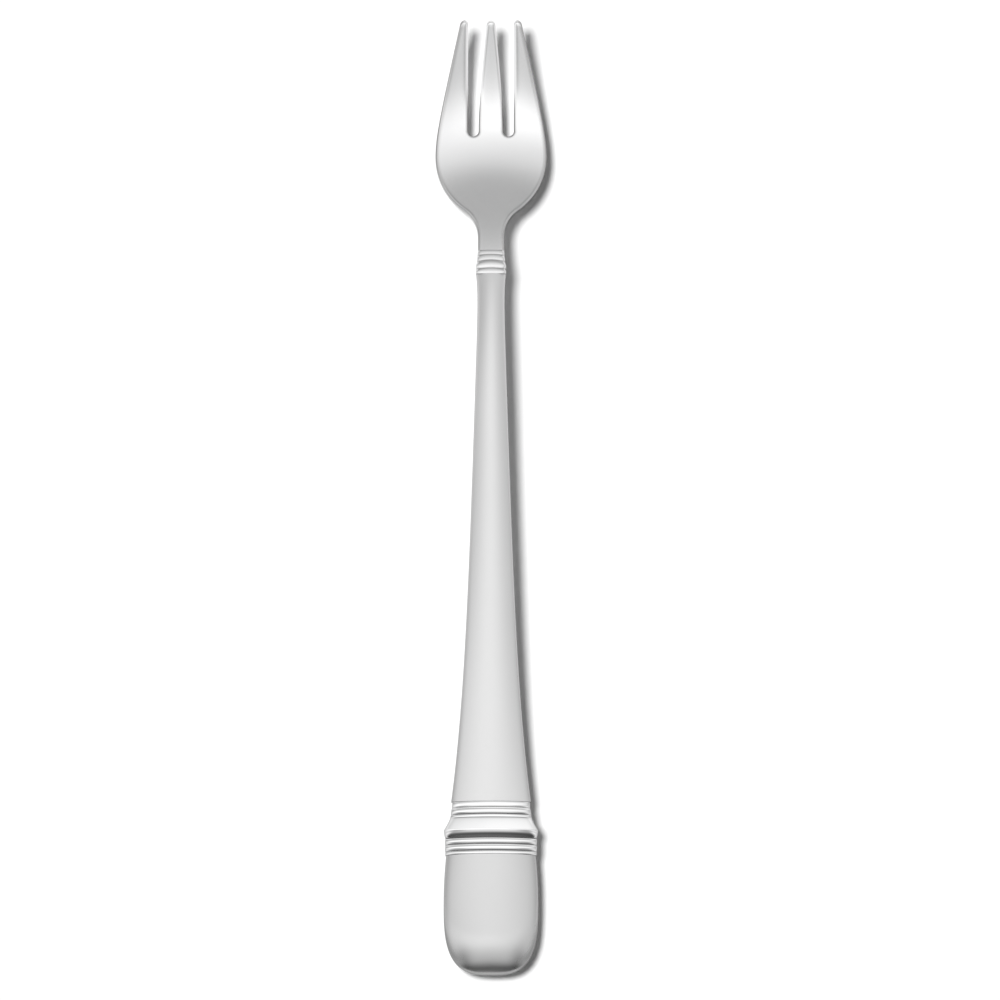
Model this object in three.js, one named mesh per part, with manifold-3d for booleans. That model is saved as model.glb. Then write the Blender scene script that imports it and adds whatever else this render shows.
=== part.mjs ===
// Three-tine oyster fork with a hollow handle. The head and its tang are one forging. The tang is cemented
// into a handle of two pressed shells, closed by a beaded neck ring at one end and by a collar and an end cap
// at the other. Millimetres, +Z up, tines towards +Y. The fork lies on its back, on the flats of the end cap
// and of the bowl.
import * as THREE from "three";
import { mergeVertices } from "three/addons/utils/BufferGeometryUtils.js";
import Module from "manifold-3d";

const wasm = await Module();
wasm.setup();

// The end cap: its width at its widest place and at the collar, the heights of its crown and back from the
// seam, and how its end is rounded from above and from the side
const CAP_LENGTH = 19.3;
const CAP_WIDTH = 15.2;
const CAP_MOUTH_WIDTH = 14.4;
const CAP_CROWN = 2.6;
const CAP_BACK = 2.2;
const CAP_ROUND_LENGTH = 11.5;
const CAP_ROUND_POWER = 3;
const CAP_ROUND_SHARE = 0.995;
const CAP_DOME_LENGTH = 6.4;
const CAP_DOME_POWER = 2;

// The collar: its base at the cap and at the handle, and its mouldings in order from the cap
const COLLAR_CAP_WIDTH = 14.6;
const COLLAR_CAP_CROWN = 2.4;
const COLLAR_CAP_BACK = 1.7;
const COLLAR_HANDLE_WIDTH = 12.4;
const COLLAR_HANDLE_CROWN = 2.05;
const COLLAR_HANDLE_BACK = 1.6;
const COLLAR_TAPER_POWER = 2;
const LIP_LENGTH = 0.6;
const LIP_HEIGHT = 0.12;
const CAP_BEAD_LENGTH = 1.05;
const CAP_BEAD_HEIGHT = 0.25;
const NOSE_LENGTH = 1.35;
const NOSE_HEIGHT = 0.65;
const COVE_LENGTH = 2;
const COVE_POWER = 1.1;
const STEP_LENGTH = 0.5;
const STEP_HEIGHT = 0.05;
const HANDLE_BEAD_LENGTH = 1.1;
const HANDLE_BEAD_HEIGHT = 0.22;
const EDGE_BEAD_LENGTH = 1;
const EDGE_BEAD_HEIGHT = 0.12;

// The share of its height that a moulding of the collar has at its sides and back
const SIDE_RELIEF = 0.4;

// The handle: an even taper between two flares, and its crown and back at its butt and at its mouth
const HANDLE_LENGTH = 85.5;
const HANDLE_WAIST_WIDTH = 3.9;
const HANDLE_TAPER = 5.54;
const HANDLE_BUTT_FLARE = 3.4;
const HANDLE_MOUTH_FLARE = 0.9;
const BUTT_FLARE_POWER = 5;
const MOUTH_FLARE_POWER = 28;
const HANDLE_BUTT_CROWN = 2.1;
const HANDLE_BUTT_BACK = 1.85;
const HANDLE_MOUTH_CROWN = 1.65;
const HANDLE_MOUTH_BACK = 1.55;
const SHELL_WALL = 0.6;

// The neck ring: its base at the handle and at the neck, and its beads in order from the handle
const RING_HANDLE_WIDTH = 4.75;
const RING_HANDLE_CROWN = 1.55;
const RING_HANDLE_BACK = 1.4;
const RING_NECK_WIDTH = 4.2;
const RING_NECK_CROWN = 1.4;
const RING_NECK_BACK = 1.3;
const MOUTH_BEAD_LENGTH = 0.9;
const MOUTH_BEAD_HEIGHT = 0.1;
const MAIN_BEAD_LENGTH = 1.3;
const MAIN_BEAD_HEIGHT = 0.17;
const NECK_BEAD_LENGTH = 0.95;
const NECK_BEAD_HEIGHT = 0.07;
const NECK_LIP_LENGTH = 0.75;
const NECK_LIP_HEIGHT = 0.05;

// The head seen from above
const HEAD_LENGTH = 37.6;
const HEAD_WIDTH = 17.9;
const NECK_WIDTH = 4.22;
const NECK_STRAIGHT = 2.3;
const NECK_FILLET_RADIUS = 5.6;
const SHOULDER_RADIUS = 10.9;
const TAPER_EASE = 1.1;
const TINE_LENGTH = 18.4;
const TIPS_SPREAD = 9.65;
const TIP_WIDTH = 1.14;
const TIP_FLAT = 0.3;
const MIDDLE_TINE_WIDTH = 3.95;
const MIDDLE_TIP_WIDTH = 1.42;
const MIDDLE_TINE_EVEN = 5;
const SLOT_WIDTH = 1.71;

// The head seen from the side, and its dish across
const HEEL_DISTANCE = 20.1;
const NECK_THICKNESS = 2.8;
const BOWL_THICKNESS = 2.2;
const TIP_THICKNESS = 1.1;
const NECK_EDGE_RADIUS = 0.8;
const BOWL_EDGE_RADIUS = 0.3;
const EDGE_RADIUS_LIMIT = 0.9;
const DISH_START = 6.5;
const DISH_DISTANCE = 15.2;
const DISH_START_DEPTH = 0.12;
const BOWL_DISH = 0.8;
const TIP_DISH = 0.25;

// Heights of the seam above the table, and where they are reached. The seam runs on through the head, as the
// middle of its thickness
const CAP_SEAM = 2.1;
const CAP_LEVEL_LENGTH = 13.9;
const BUTT_SEAM = 2.6;
const RISE_SEAM = 4.3;
const RISE_DISTANCE = 30;
const CREST_SEAM = 5.15;
const CREST_DISTANCE = 61.5;
const NECK_SEAM = 4.2;
const SHOULDER_SEAM = 2.8;
const SHOULDER_DISTANCE = 7;
const BOWL_SEAM = 1.35;
const BOWL_DISTANCE = 14;
const TIP_SEAM = 4.9;
const REST_FLAT = 0.1;

// The tang and the spigot inside the handle, and the clearance of every inner fit
const TANG_LENGTH = 46;
const TANG_WIDTH = 2.2;
const TANG_THICKNESS = 1;
const SPIGOT_DEPTH = 8;
const SPIGOT_WIDTH = 8.4;
const SPIGOT_THICKNESS = 1.7;
const FIT_CLEARANCE = 0.1;

// Every oval section is an arch between two upright edges: the share of its height that the edges have, and
// how square they are
const EDGE_SHARE = 0.4;
const EDGE_POWER = 8;

// How far a cutter reaches past what it cuts
const OVERSHOOT = 1;

// How finely the curves are divided
const CAP_SIDES = 28;
const COLLAR_SIDES = 28;
const RING_SIDES = 24;
const SHELL_SIDES = 14;
const FILLER_SIDES = 20;
const CORE_SIDES = 16;
const CORE_STEPS = 10;
const CAP_ROUND_STEPS = 9;
const CAP_STRAIGHT_STEPS = 4;
const MOULDING_STEPS = 4;
const HANDLE_STEPS = 14;
const MOUTH_LENGTH = 6;
const MOUTH_STEPS = 4;
const SHOULDER_STEPS = 15;
const TINE_STEPS = 12;
const TIP_STEPS = 4;
const PLATE_STEPS = 8;
const CORNER_STEPS = 2;
const SLOT_STEPS = 6;

// The share of its height that a moulding has at a share of its length: a bead is half an oval, a swell is
// softer, and the nose is a quarter round from which the cove falls away
const bead = (share) => Math.sqrt(1 - (2 * share - 1) ** 2);
const swell = (share) => Math.sin(Math.PI * share);
const nose = (share) => 1 - (1 - share) ** 2;
const cove = (share) => (1 - share) ** COVE_POWER;

const collarMouldings = [
  { length: LIP_LENGTH, height: LIP_HEIGHT, shape: bead },
  { length: CAP_BEAD_LENGTH, height: CAP_BEAD_HEIGHT, shape: bead },
  { length: CAP_BEAD_LENGTH, height: CAP_BEAD_HEIGHT, shape: bead },
  { length: NOSE_LENGTH, height: NOSE_HEIGHT, shape: nose },
  { length: COVE_LENGTH, height: NOSE_HEIGHT, shape: cove },
  { length: STEP_LENGTH, height: STEP_HEIGHT, shape: bead },
  { length: HANDLE_BEAD_LENGTH, height: HANDLE_BEAD_HEIGHT, shape: bead },
  { length: EDGE_BEAD_LENGTH, height: EDGE_BEAD_HEIGHT, shape: bead },
];
const ringMouldings = [
  { length: MOUTH_BEAD_LENGTH, height: MOUTH_BEAD_HEIGHT, shape: swell },
  { length: MAIN_BEAD_LENGTH, height: MAIN_BEAD_HEIGHT, shape: swell },
  { length: NECK_BEAD_LENGTH, height: NECK_BEAD_HEIGHT, shape: swell },
  { length: NECK_LIP_LENGTH, height: NECK_LIP_HEIGHT, shape: swell },
];

const totalLength = (mouldings) => mouldings.reduce((sum, moulding) => sum + moulding.length, 0);
const between = (a, b, share) => a + (b - a) * share;
const range = (from, to, steps) => Array.from({ length: steps + 1 }, (_, i) => between(from, to, i / steps));

// Stations along the fork, from the end of the handle
const capTop = CAP_LENGTH;
const coveStart = capTop + LIP_LENGTH + 2 * CAP_BEAD_LENGTH + NOSE_LENGTH;
const handleStart = capTop + totalLength(collarMouldings);
const handleEnd = handleStart + HANDLE_LENGTH;
const headBase = handleEnd + totalLength(ringMouldings);
const heel = headBase + HEEL_DISTANCE;
const tips = headBase + HEAD_LENGTH;

// A smooth curve through [place, value] points, as a function of the place: a natural cubic spline
function curveThrough(points) {
  const last = points.length - 1;
  const place = points.map((point) => point[0]);
  const value = points.map((point) => point[1]);
  const slope = (i) => (value[i + 1] - value[i]) / (place[i + 1] - place[i]);
  const bend = new Array(last + 1).fill(0);
  const carried = new Array(last + 1).fill(0);
  for (let i = 1; i < last; i += 1) {
    const reach = place[i + 1] - place[i - 1];
    const share = (place[i] - place[i - 1]) / reach;
    const pivot = share * bend[i - 1] + 2;
    bend[i] = (share - 1) / pivot;
    carried[i] = ((6 * (slope(i) - slope(i - 1))) / reach - share * carried[i - 1]) / pivot;
  }
  for (let i = last - 1; i > 0; i -= 1) {
    bend[i] = bend[i] * bend[i + 1] + carried[i];
  }
  return (at) => {
    let i = 0;
    while (i < last - 1 && at > place[i + 1]) {
      i += 1;
    }
    const span = place[i + 1] - place[i];
    const ahead = (at - place[i]) / span;
    const back = 1 - ahead;
    const curve = (back ** 3 - back) * bend[i] + (ahead ** 3 - ahead) * bend[i + 1];
    return back * value[i] + ahead * value[i + 1] + (curve * span * span) / 6;
  };
}

// The height of the seam along the fork: level in the cap, arched over the handle, down to the heel and up
// along the tines
const seam = curveThrough([
  [0, CAP_SEAM],
  [CAP_LEVEL_LENGTH, CAP_SEAM],
  [handleStart, BUTT_SEAM],
  [handleStart + RISE_DISTANCE, RISE_SEAM],
  [handleStart + CREST_DISTANCE, CREST_SEAM],
  [headBase, NECK_SEAM],
  [headBase + SHOULDER_DISTANCE, SHOULDER_SEAM],
  [headBase + BOWL_DISTANCE, BOWL_SEAM],
  [heel, BOWL_THICKNESS / 2 - REST_FLAT],
  [tips, TIP_SEAM],
]);

// A point of the fork: across it, at a station along it, and above the table
const pointAt = (x, station, z) => new THREE.Vector3(x, station - tips / 2, z);

const fullTurn = (sides) => range(0, 2 * Math.PI, sides).slice(0, -1);

// A section across the fork at the given angles: an oval whose crown and back have their own heights from
// the seam
function ovalSection(station, { halfWidth, crown, back }, angles) {
  return angles.map((angle) => {
    const across = Math.cos(angle);
    const arch = 1 - across * across;
    const edge = (1 - Math.abs(across) ** EDGE_POWER) ** (1 / EDGE_POWER);
    const height = Math.sin(angle) > 0 ? crown : -back;
    return pointAt(halfWidth * across, station, seam(station) + height * between(arch, edge, EDGE_SHARE));
  });
}

// A closed geometry through sections of equally many points, each anticlockwise as seen from the handle's end
function loft(sections) {
  const count = sections[0].length;
  const index = [];
  for (let start = 0; start < (sections.length - 1) * count; start += count) {
    for (let i = 0; i < count; i += 1) {
      const here = start + i;
      const next = start + ((i + 1) % count);
      index.push(here, here + count, next, next, here + count, next + count);
    }
  }
  const facesOf = (section) => {
    const outline = section.map((point) => new THREE.Vector2(point.x, point.z));
    return THREE.ShapeUtils.triangulateShape(outline, []);
  };
  const lastStart = (sections.length - 1) * count;
  facesOf(sections[0]).forEach(([a, b, c]) => index.push(a, b, c));
  facesOf(sections.at(-1)).forEach(([a, b, c]) => index.push(lastStart + a, lastStart + c, lastStart + b));
  const geometry = new THREE.BufferGeometry().setFromPoints(sections.flat());
  geometry.setIndex(index);
  return geometry;
}

function solidOf(geometry) {
  const bare = geometry.clone();
  bare.deleteAttribute("normal");
  bare.deleteAttribute("uv");
  const merged = mergeVertices(bare);
  const vertProperties = new Float32Array(merged.attributes.position.array);
  const triVerts = new Uint32Array(merged.index.array);
  return new wasm.Manifold(new wasm.Mesh({ numProp: 3, vertProperties, triVerts }));
}

function geometryOf(solid) {
  const mesh = solid.getMesh();
  const geometry = new THREE.BufferGeometry();
  geometry.setAttribute("position", new THREE.Float32BufferAttribute(mesh.vertProperties, 3));
  geometry.setIndex(Array.from(mesh.triVerts));
  return geometry;
}

// Everything under the table: cutting it away leaves the flats that the fork rests on
function underTable() {
  const block = new THREE.BoxGeometry(2 * HEAD_WIDTH, 2 * tips, OVERSHOOT);
  block.translate(0, 0, -OVERSHOOT / 2);
  return solidOf(block);
}

// An oval core along the seam: the tang, the spigot and, with a clearance, their sockets and holes
function ovalCore(from, to, width, thickness, clearance = 0) {
  const half = thickness / 2 + clearance;
  const sizes = { halfWidth: width / 2 + clearance, crown: half, back: half };
  const angles = fullTurn(CORE_SIDES);
  const sections = range(from, to, CORE_STEPS).map((station) => ovalSection(station, sizes, angles));
  return solidOf(loft(sections));
}

const tangCore = (from, to, clearance) => ovalCore(from, to, TANG_WIDTH, TANG_THICKNESS, clearance);
const spigotCore = (from, to, clearance) => ovalCore(from, to, SPIGOT_WIDTH, SPIGOT_THICKNESS, clearance);

// Distances from the head's base: the end of the neck's fillet, the widest place and the start of the round
// tips
const shoulderTurn = Math.acos(1 - (HEAD_WIDTH - NECK_WIDTH) / 2 / (NECK_FILLET_RADIUS + SHOULDER_RADIUS));
const filletEnd = NECK_STRAIGHT + NECK_FILLET_RADIUS * Math.sin(shoulderTurn);
const widest = filletEnd + SHOULDER_RADIUS * Math.sin(shoulderTurn);
const tipStart = HEAD_LENGTH - TIP_WIDTH / 2;

// How far an arc has left its tangent after a run along it
const arcRise = (radius, run) => radius - Math.sqrt(radius * radius - run * run);

// The outer edge of the outer tines: it leaves the widest place softly and then leans in evenly to the tips
function taperHalfWidth(distance) {
  const drop = (HEAD_WIDTH - TIPS_SPREAD) / 2 + TAPER_EASE;
  const lean = Math.sqrt(drop * drop - TAPER_EASE * TAPER_EASE) / (HEAD_LENGTH - widest);
  return HEAD_WIDTH / 2 + TAPER_EASE - Math.hypot(lean * (distance - widest), TAPER_EASE);
}

// Half the width of the head at a distance from its base
function headHalfWidth(distance) {
  if (distance < NECK_STRAIGHT) {
    return NECK_WIDTH / 2;
  }
  if (distance < filletEnd) {
    return NECK_WIDTH / 2 + arcRise(NECK_FILLET_RADIUS, distance - NECK_STRAIGHT);
  }
  if (distance < widest) {
    return HEAD_WIDTH / 2 - arcRise(SHOULDER_RADIUS, widest - distance);
  }
  const outer = taperHalfWidth(distance);
  if (distance < tipStart) {
    return outer;
  }
  const turn = Math.min(1, (distance - tipStart) / (HEAD_LENGTH - tipStart));
  const tipEnd = (TIPS_SPREAD - TIP_WIDTH + TIP_FLAT) / 2;
  return between(tipEnd, outer, Math.sqrt(1 - turn * turn));
}

const headThickness = curveThrough([
  [0, NECK_THICKNESS],
  [HEEL_DISTANCE, BOWL_THICKNESS],
  [HEAD_LENGTH, TIP_THICKNESS],
]);

const headDish = curveThrough([
  [0, 0],
  [DISH_START, DISH_START_DEPTH],
  [DISH_DISTANCE, BOWL_DISH],
  [HEAD_LENGTH, TIP_DISH],
]);

// A section across the head: a dished plate with rounded edges
function plateSection(distance) {
  const halfWidth = headHalfWidth(distance);
  const half = headThickness(distance) / 2;
  const wanted = between(NECK_EDGE_RADIUS, BOWL_EDGE_RADIUS, Math.min(1, distance / widest));
  const radius = Math.min(wanted, EDGE_RADIUS_LIMIT * half);
  const station = headBase + distance;
  const corner = (side, end, from) =>
    range(from, from + Math.PI / 2, CORNER_STEPS).map((angle) => [
      side * (halfWidth - radius) + radius * Math.cos(angle),
      end * (half - radius) + radius * Math.sin(angle),
    ]);
  const across = (side, z) =>
    range(side, -side, PLATE_STEPS)
      .slice(1, -1)
      .map((share) => [share * (halfWidth - radius), z]);
  const outline = [
    ...corner(1, 1, 0),
    ...across(1, half),
    ...corner(-1, 1, Math.PI / 2),
    ...corner(-1, -1, Math.PI),
    ...across(-1, -half),
    ...corner(1, -1, 1.5 * Math.PI),
  ];
  const lift = (x) => seam(station) + headDish(distance) * (x / halfWidth) ** 2;
  return outline.map(([x, z]) => pointAt(x, station, z + lift(x)));
}

// The gap between the middle tine and the outer tine on one side, with a round root, open at the tips
function slotCutter(side) {
  const tipY = tips / 2;
  const rootRadius = SLOT_WIDTH / 2;
  const rootY = tipY - TINE_LENGTH + rootRadius;
  const middleTip = MIDDLE_TIP_WIDTH / 2;
  const middleRoot = MIDDLE_TINE_WIDTH / 2;
  const outerTip = TIPS_SPREAD / 2 - TIP_WIDTH;
  const outerTipEnd = (TIPS_SPREAD - TIP_WIDTH - TIP_FLAT) / 2;
  const shape = new THREE.Shape();
  shape.moveTo(TIP_FLAT / 2, tipY + OVERSHOOT);
  shape.lineTo(TIP_FLAT / 2, tipY);
  shape.quadraticCurveTo(middleTip, tipY, middleTip, tipY - middleTip);
  shape.quadraticCurveTo(middleRoot, rootY + MIDDLE_TINE_EVEN, middleRoot, rootY);
  shape.absarc(middleRoot + rootRadius, rootY, rootRadius, Math.PI, 2 * Math.PI, false);
  shape.lineTo(outerTip, tipY - TIP_WIDTH / 2);
  shape.quadraticCurveTo(outerTip, tipY, outerTipEnd, tipY);
  shape.lineTo(outerTipEnd, tipY + OVERSHOOT);
  const outline = shape.getPoints(SLOT_STEPS).map((point) => new THREE.Vector2(side * point.x, point.y));
  const depth = 2 * HEAD_WIDTH;
  const cutter = new THREE.ExtrudeGeometry(new THREE.Shape(outline), { depth, bevelEnabled: false });
  cutter.translate(0, 0, -depth / 2);
  return solidOf(cutter);
}

// The forged head, with its tines, bowl, neck and tang
function forkHead() {
  const turns = range(0, Math.PI / 2, TIP_STEPS);
  const roundTip = turns.map((turn) => between(tipStart, HEAD_LENGTH, Math.sin(turn)));
  const shoulder = range(0, widest, SHOULDER_STEPS).slice(0, -1);
  const tines = range(widest, tipStart, TINE_STEPS).slice(0, -1);
  const plate = solidOf(loft([...shoulder, ...tines, ...roundTip].map(plateSection)));
  const tined = plate.subtract(slotCutter(1)).subtract(slotCutter(-1)).subtract(underTable());
  return geometryOf(tined.add(tangCore(headBase - TANG_LENGTH, headBase + OVERSHOOT)));
}

// The stations of a ring's mouldings, with how far each stands above the ring's base
function mouldingStations(mouldings, start) {
  const stations = [];
  let from = start;
  mouldings.forEach(({ length, height, shape }) => {
    range(0, 1, MOULDING_STEPS)
      .slice(0, -1)
      .forEach((share) => stations.push({ station: from + length * share, rise: height * shape(share) }));
    from += length;
  });
  stations.push({ station: from, rise: 0 });
  return stations;
}

// The ring between the handle's mouth and the neck, with the tang's hole
function neckRing() {
  const sections = mouldingStations(ringMouldings, handleEnd).map(({ station, rise }) => {
    const share = (station - handleEnd) / (headBase - handleEnd);
    const sizes = {
      halfWidth: between(RING_HANDLE_WIDTH, RING_NECK_WIDTH, share) / 2 + rise,
      crown: between(RING_HANDLE_CROWN, RING_NECK_CROWN, share) + rise,
      back: between(RING_HANDLE_BACK, RING_NECK_BACK, share) + rise,
    };
    return ovalSection(station, sizes, fullTurn(RING_SIDES));
  });
  const hole = tangCore(handleEnd - OVERSHOOT, headBase + OVERSHOOT, FIT_CLEARANCE);
  return geometryOf(solidOf(loft(sections)).subtract(hole));
}

// The collar between the cap and the handle, with the spigot's hole: its base narrows from the cove on
function collarRing() {
  const sections = mouldingStations(collarMouldings, capTop).map(({ station, rise }) => {
    const along = Math.max(0, (station - coveStart) / (handleStart - coveStart));
    const share = 1 - (1 - along) ** COLLAR_TAPER_POWER;
    const sizes = {
      halfWidth: between(COLLAR_CAP_WIDTH, COLLAR_HANDLE_WIDTH, share) / 2 + SIDE_RELIEF * rise,
      crown: between(COLLAR_CAP_CROWN, COLLAR_HANDLE_CROWN, share) + rise,
      back: between(COLLAR_CAP_BACK, COLLAR_HANDLE_BACK, share) + SIDE_RELIEF * rise,
    };
    return ovalSection(station, sizes, fullTurn(COLLAR_SIDES));
  });
  const hole = spigotCore(capTop - OVERSHOOT, handleStart + OVERSHOOT, FIT_CLEARANCE);
  return geometryOf(solidOf(loft(sections)).subtract(hole));
}

// The handle's section, or the section that lies inside it by an inset
function handleSizes(station, inset) {
  const share = (station - handleStart) / HANDLE_LENGTH;
  const buttFlare = HANDLE_BUTT_FLARE * (1 - share) ** BUTT_FLARE_POWER;
  const mouthFlare = HANDLE_MOUTH_FLARE * share ** MOUTH_FLARE_POWER;
  return {
    halfWidth: (HANDLE_WAIST_WIDTH + HANDLE_TAPER * (1 - share) + buttFlare + mouthFlare) / 2 - inset,
    crown: between(HANDLE_BUTT_CROWN, HANDLE_MOUTH_CROWN, share) - inset,
    back: between(HANDLE_BUTT_BACK, HANDLE_MOUTH_BACK, share) - inset,
  };
}

const handleStations = [
  ...range(handleStart, handleEnd - MOUTH_LENGTH, HANDLE_STEPS).slice(0, -1),
  ...range(handleEnd - MOUTH_LENGTH, handleEnd, MOUTH_STEPS),
];

// One half of the hollow handle, from the seam on one side to the seam on the other
function handleShell(from, to) {
  const angles = range(from, to, SHELL_SIDES);
  const sections = handleStations.map((station) => [
    ...ovalSection(station, handleSizes(station, 0), angles),
    ...ovalSection(station, handleSizes(station, SHELL_WALL), angles).reverse(),
  ]);
  return loft(sections);
}

// The cement inside the handle, with the sockets that hold the tang and the spigot
function handleFiller() {
  const inset = SHELL_WALL + FIT_CLEARANCE;
  const sections = handleStations.map((station) =>
    ovalSection(station, handleSizes(station, inset), fullTurn(FILLER_SIDES)),
  );
  const tangSocket = tangCore(headBase - TANG_LENGTH - FIT_CLEARANCE, headBase, FIT_CLEARANCE);
  const spigotSocket = spigotCore(capTop, handleStart + SPIGOT_DEPTH + FIT_CLEARANCE, FIT_CLEARANCE);
  return geometryOf(solidOf(loft(sections)).subtract(tangSocket).subtract(spigotSocket));
}

// How full the cap is at a station, for a round of that length and power at its end
function capFullness(station, length, power) {
  const turn = CAP_ROUND_SHARE * Math.max(0, 1 - station / length);
  return (1 - turn ** power) ** (1 / power);
}

// The end cap: widest a little way in from its round end, flat underneath, with the spigot on its mouth
function endCap() {
  const turns = range(0, Math.PI / 2, CAP_ROUND_STEPS);
  const rounded = turns.map((turn) => CAP_ROUND_LENGTH * (1 - Math.cos(turn)));
  const straight = range(CAP_ROUND_LENGTH, capTop, CAP_STRAIGHT_STEPS).slice(1);
  const sections = [...rounded, ...straight].map((station) => {
    const round = capFullness(station, CAP_ROUND_LENGTH, CAP_ROUND_POWER);
    const dome = capFullness(station, CAP_DOME_LENGTH, CAP_DOME_POWER);
    const along = Math.max(0, (station - CAP_ROUND_LENGTH) / (capTop - CAP_ROUND_LENGTH));
    const sizes = {
      halfWidth: (between(CAP_WIDTH, CAP_MOUTH_WIDTH, along * along) / 2) * round,
      crown: CAP_CROWN * dome,
      back: CAP_BACK * dome,
    };
    return ovalSection(station, sizes, fullTurn(CAP_SIDES));
  });
  const body = solidOf(loft(sections)).subtract(underTable());
  return geometryOf(body.add(spigotCore(capTop - OVERSHOOT, handleStart + SPIGOT_DEPTH)));
}

const polishedSteel = new THREE.MeshStandardMaterial({ color: 0xd6d7d8, roughness: 0.2, metalness: 1 });
const mirrorSteel = new THREE.MeshStandardMaterial({ color: 0xe0e0e0, roughness: 0.06, metalness: 1 });
const satinSteel = new THREE.MeshStandardMaterial({ color: 0xc8c9ca, roughness: 0.38, metalness: 1 });
const cement = new THREE.MeshStandardMaterial({ color: 0x8c8478, roughness: 0.9, metalness: 0 });

const pieces = [
  ["fork_head", forkHead(), polishedSteel],
  ["neck_ring", neckRing(), mirrorSteel],
  ["handle_front_shell", handleShell(0, Math.PI), satinSteel],
  ["handle_back_shell", handleShell(Math.PI, 2 * Math.PI), satinSteel],
  ["handle_filler", handleFiller(), cement],
  ["collar_ring", collarRing(), mirrorSteel],
  ["end_cap", endCap(), satinSteel],
];

const fork = new THREE.Group();
fork.name = "oyster_fork";
pieces.forEach(([name, geometry, material]) => {
  const mesh = new THREE.Mesh(geometry, material);
  mesh.name = name;
  fork.add(mesh);
});

export default fork;
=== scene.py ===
import math

import bpy
import numpy as np
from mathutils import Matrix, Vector


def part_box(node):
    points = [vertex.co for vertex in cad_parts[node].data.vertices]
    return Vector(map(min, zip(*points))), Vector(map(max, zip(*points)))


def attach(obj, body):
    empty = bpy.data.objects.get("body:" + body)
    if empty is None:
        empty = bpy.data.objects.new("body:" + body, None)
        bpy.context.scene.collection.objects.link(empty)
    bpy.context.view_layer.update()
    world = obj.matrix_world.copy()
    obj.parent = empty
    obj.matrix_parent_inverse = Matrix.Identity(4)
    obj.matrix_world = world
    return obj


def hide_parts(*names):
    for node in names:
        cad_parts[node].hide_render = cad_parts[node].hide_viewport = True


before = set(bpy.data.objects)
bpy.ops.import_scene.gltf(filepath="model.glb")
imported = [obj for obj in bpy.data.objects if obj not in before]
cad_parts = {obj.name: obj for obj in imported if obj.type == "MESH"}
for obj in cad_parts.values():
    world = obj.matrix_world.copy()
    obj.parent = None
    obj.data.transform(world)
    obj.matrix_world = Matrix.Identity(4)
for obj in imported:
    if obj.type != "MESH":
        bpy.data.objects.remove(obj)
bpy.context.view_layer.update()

MM = 0.001

# Places along the fork, from the frame
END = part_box("end_cap")[0].y
CAP_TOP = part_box("collar_ring")[0].y
HANDLE_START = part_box("handle_front_shell")[0].y
HANDLE_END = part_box("handle_front_shell")[1].y
HEAD_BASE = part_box("neck_ring")[1].y
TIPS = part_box("fork_head")[1].y
HANDLE_LENGTH = HANDLE_END - HANDLE_START
HEAD_LENGTH = TIPS - HEAD_BASE

# The end cap, round at its end seen from above and domed seen from the side, and how closely its dome
# follows the round end
CAP_WIDTH = 15.2 * MM
CAP_MOUTH_WIDTH = 14.4 * MM
CAP_TAPER_POWER = 2
CAP_CROWN = 2.6 * MM
CAP_BACK = 2.2 * MM
CAP_ROUND_LENGTH = 11.5 * MM
CAP_ROUND_POWER = 3
CAP_DOME_LENGTH = 6.4 * MM
CAP_DOME_POWER = 2
CAP_CORNER_SHARE = 0.9

# The painted shade on the cap's low corners: the share of its height below which, and the share of half its
# width beyond which, it starts and is full
CORNER_SHADE_START_HEIGHT = 0.98
CORNER_SHADE_FULL_HEIGHT = 0.46
CORNER_SHADE_START_WIDTH = 0.28
CORNER_SHADE_FULL_WIDTH = 0.68

# The collar: half its width, its crown and its back at the cap and at the handle, and its mouldings from
# the cap on
COLLAR_CAP_SIZES = np.array([7.3, 2.4, 1.7]) * MM
COLLAR_HANDLE_SIZES = np.array([6.2, 2.05, 1.6]) * MM
COLLAR_TAPER_POWER = 2
LIP_LENGTH = 0.6 * MM
LIP_HEIGHT = 0.12 * MM
CAP_BEAD_LENGTH = 1.05 * MM
CAP_BEAD_HEIGHT = 0.25 * MM
NOSE_LENGTH = 1.35 * MM
NOSE_HEIGHT = 0.65 * MM
COVE_LENGTH = 2 * MM
COVE_POWER = 1.1
STEP_LENGTH = 0.5 * MM
STEP_HEIGHT = 0.05 * MM
HANDLE_BEAD_LENGTH = 1.1 * MM
HANDLE_BEAD_HEIGHT = 0.22 * MM
EDGE_BEAD_LENGTH = 1 * MM
EDGE_BEAD_HEIGHT = 0.12 * MM
COVE_START = CAP_TOP + LIP_LENGTH + 2 * CAP_BEAD_LENGTH + NOSE_LENGTH

# The handle
WAIST_WIDTH = 3.9 * MM
TAPER = 5.54 * MM
BUTT_FLARE = 3.4 * MM
MOUTH_FLARE = 0.9 * MM
BUTT_FLARE_POWER = 5
MOUTH_FLARE_POWER = 28
BUTT_CROWN = 2.1 * MM
BUTT_BACK = 1.85 * MM
MOUTH_CROWN = 1.65 * MM
MOUTH_BACK = 1.55 * MM
SHELL_WALL = 0.6 * MM
SEAM_GROOVE = 0.06 * MM
SEAM_GROOVE_ANGLE = 0.09

# The neck ring: half its width, its crown and its back at the handle and at the neck, its beads from the
# handle on, and how far they bow towards the tines at their sides and in the middle
RING_HANDLE_SIZES = np.array([2.375, 1.48, 1.4]) * MM
RING_NECK_SIZES = np.array([2.1, 1.68, 1.3]) * MM
MOUTH_BEAD_LENGTH = 0.9 * MM
MOUTH_BEAD_HEIGHT = 0.1 * MM
MAIN_BEAD_LENGTH = 1.3 * MM
MAIN_BEAD_HEIGHT = 0.17 * MM
NECK_BEAD_LENGTH = 0.95 * MM
NECK_BEAD_HEIGHT = 0.07 * MM
NECK_LIP_LENGTH = 0.75 * MM
NECK_LIP_HEIGHT = 0.05 * MM
RING_BOW = np.array([-0.2, 0.08]) * MM

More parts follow.
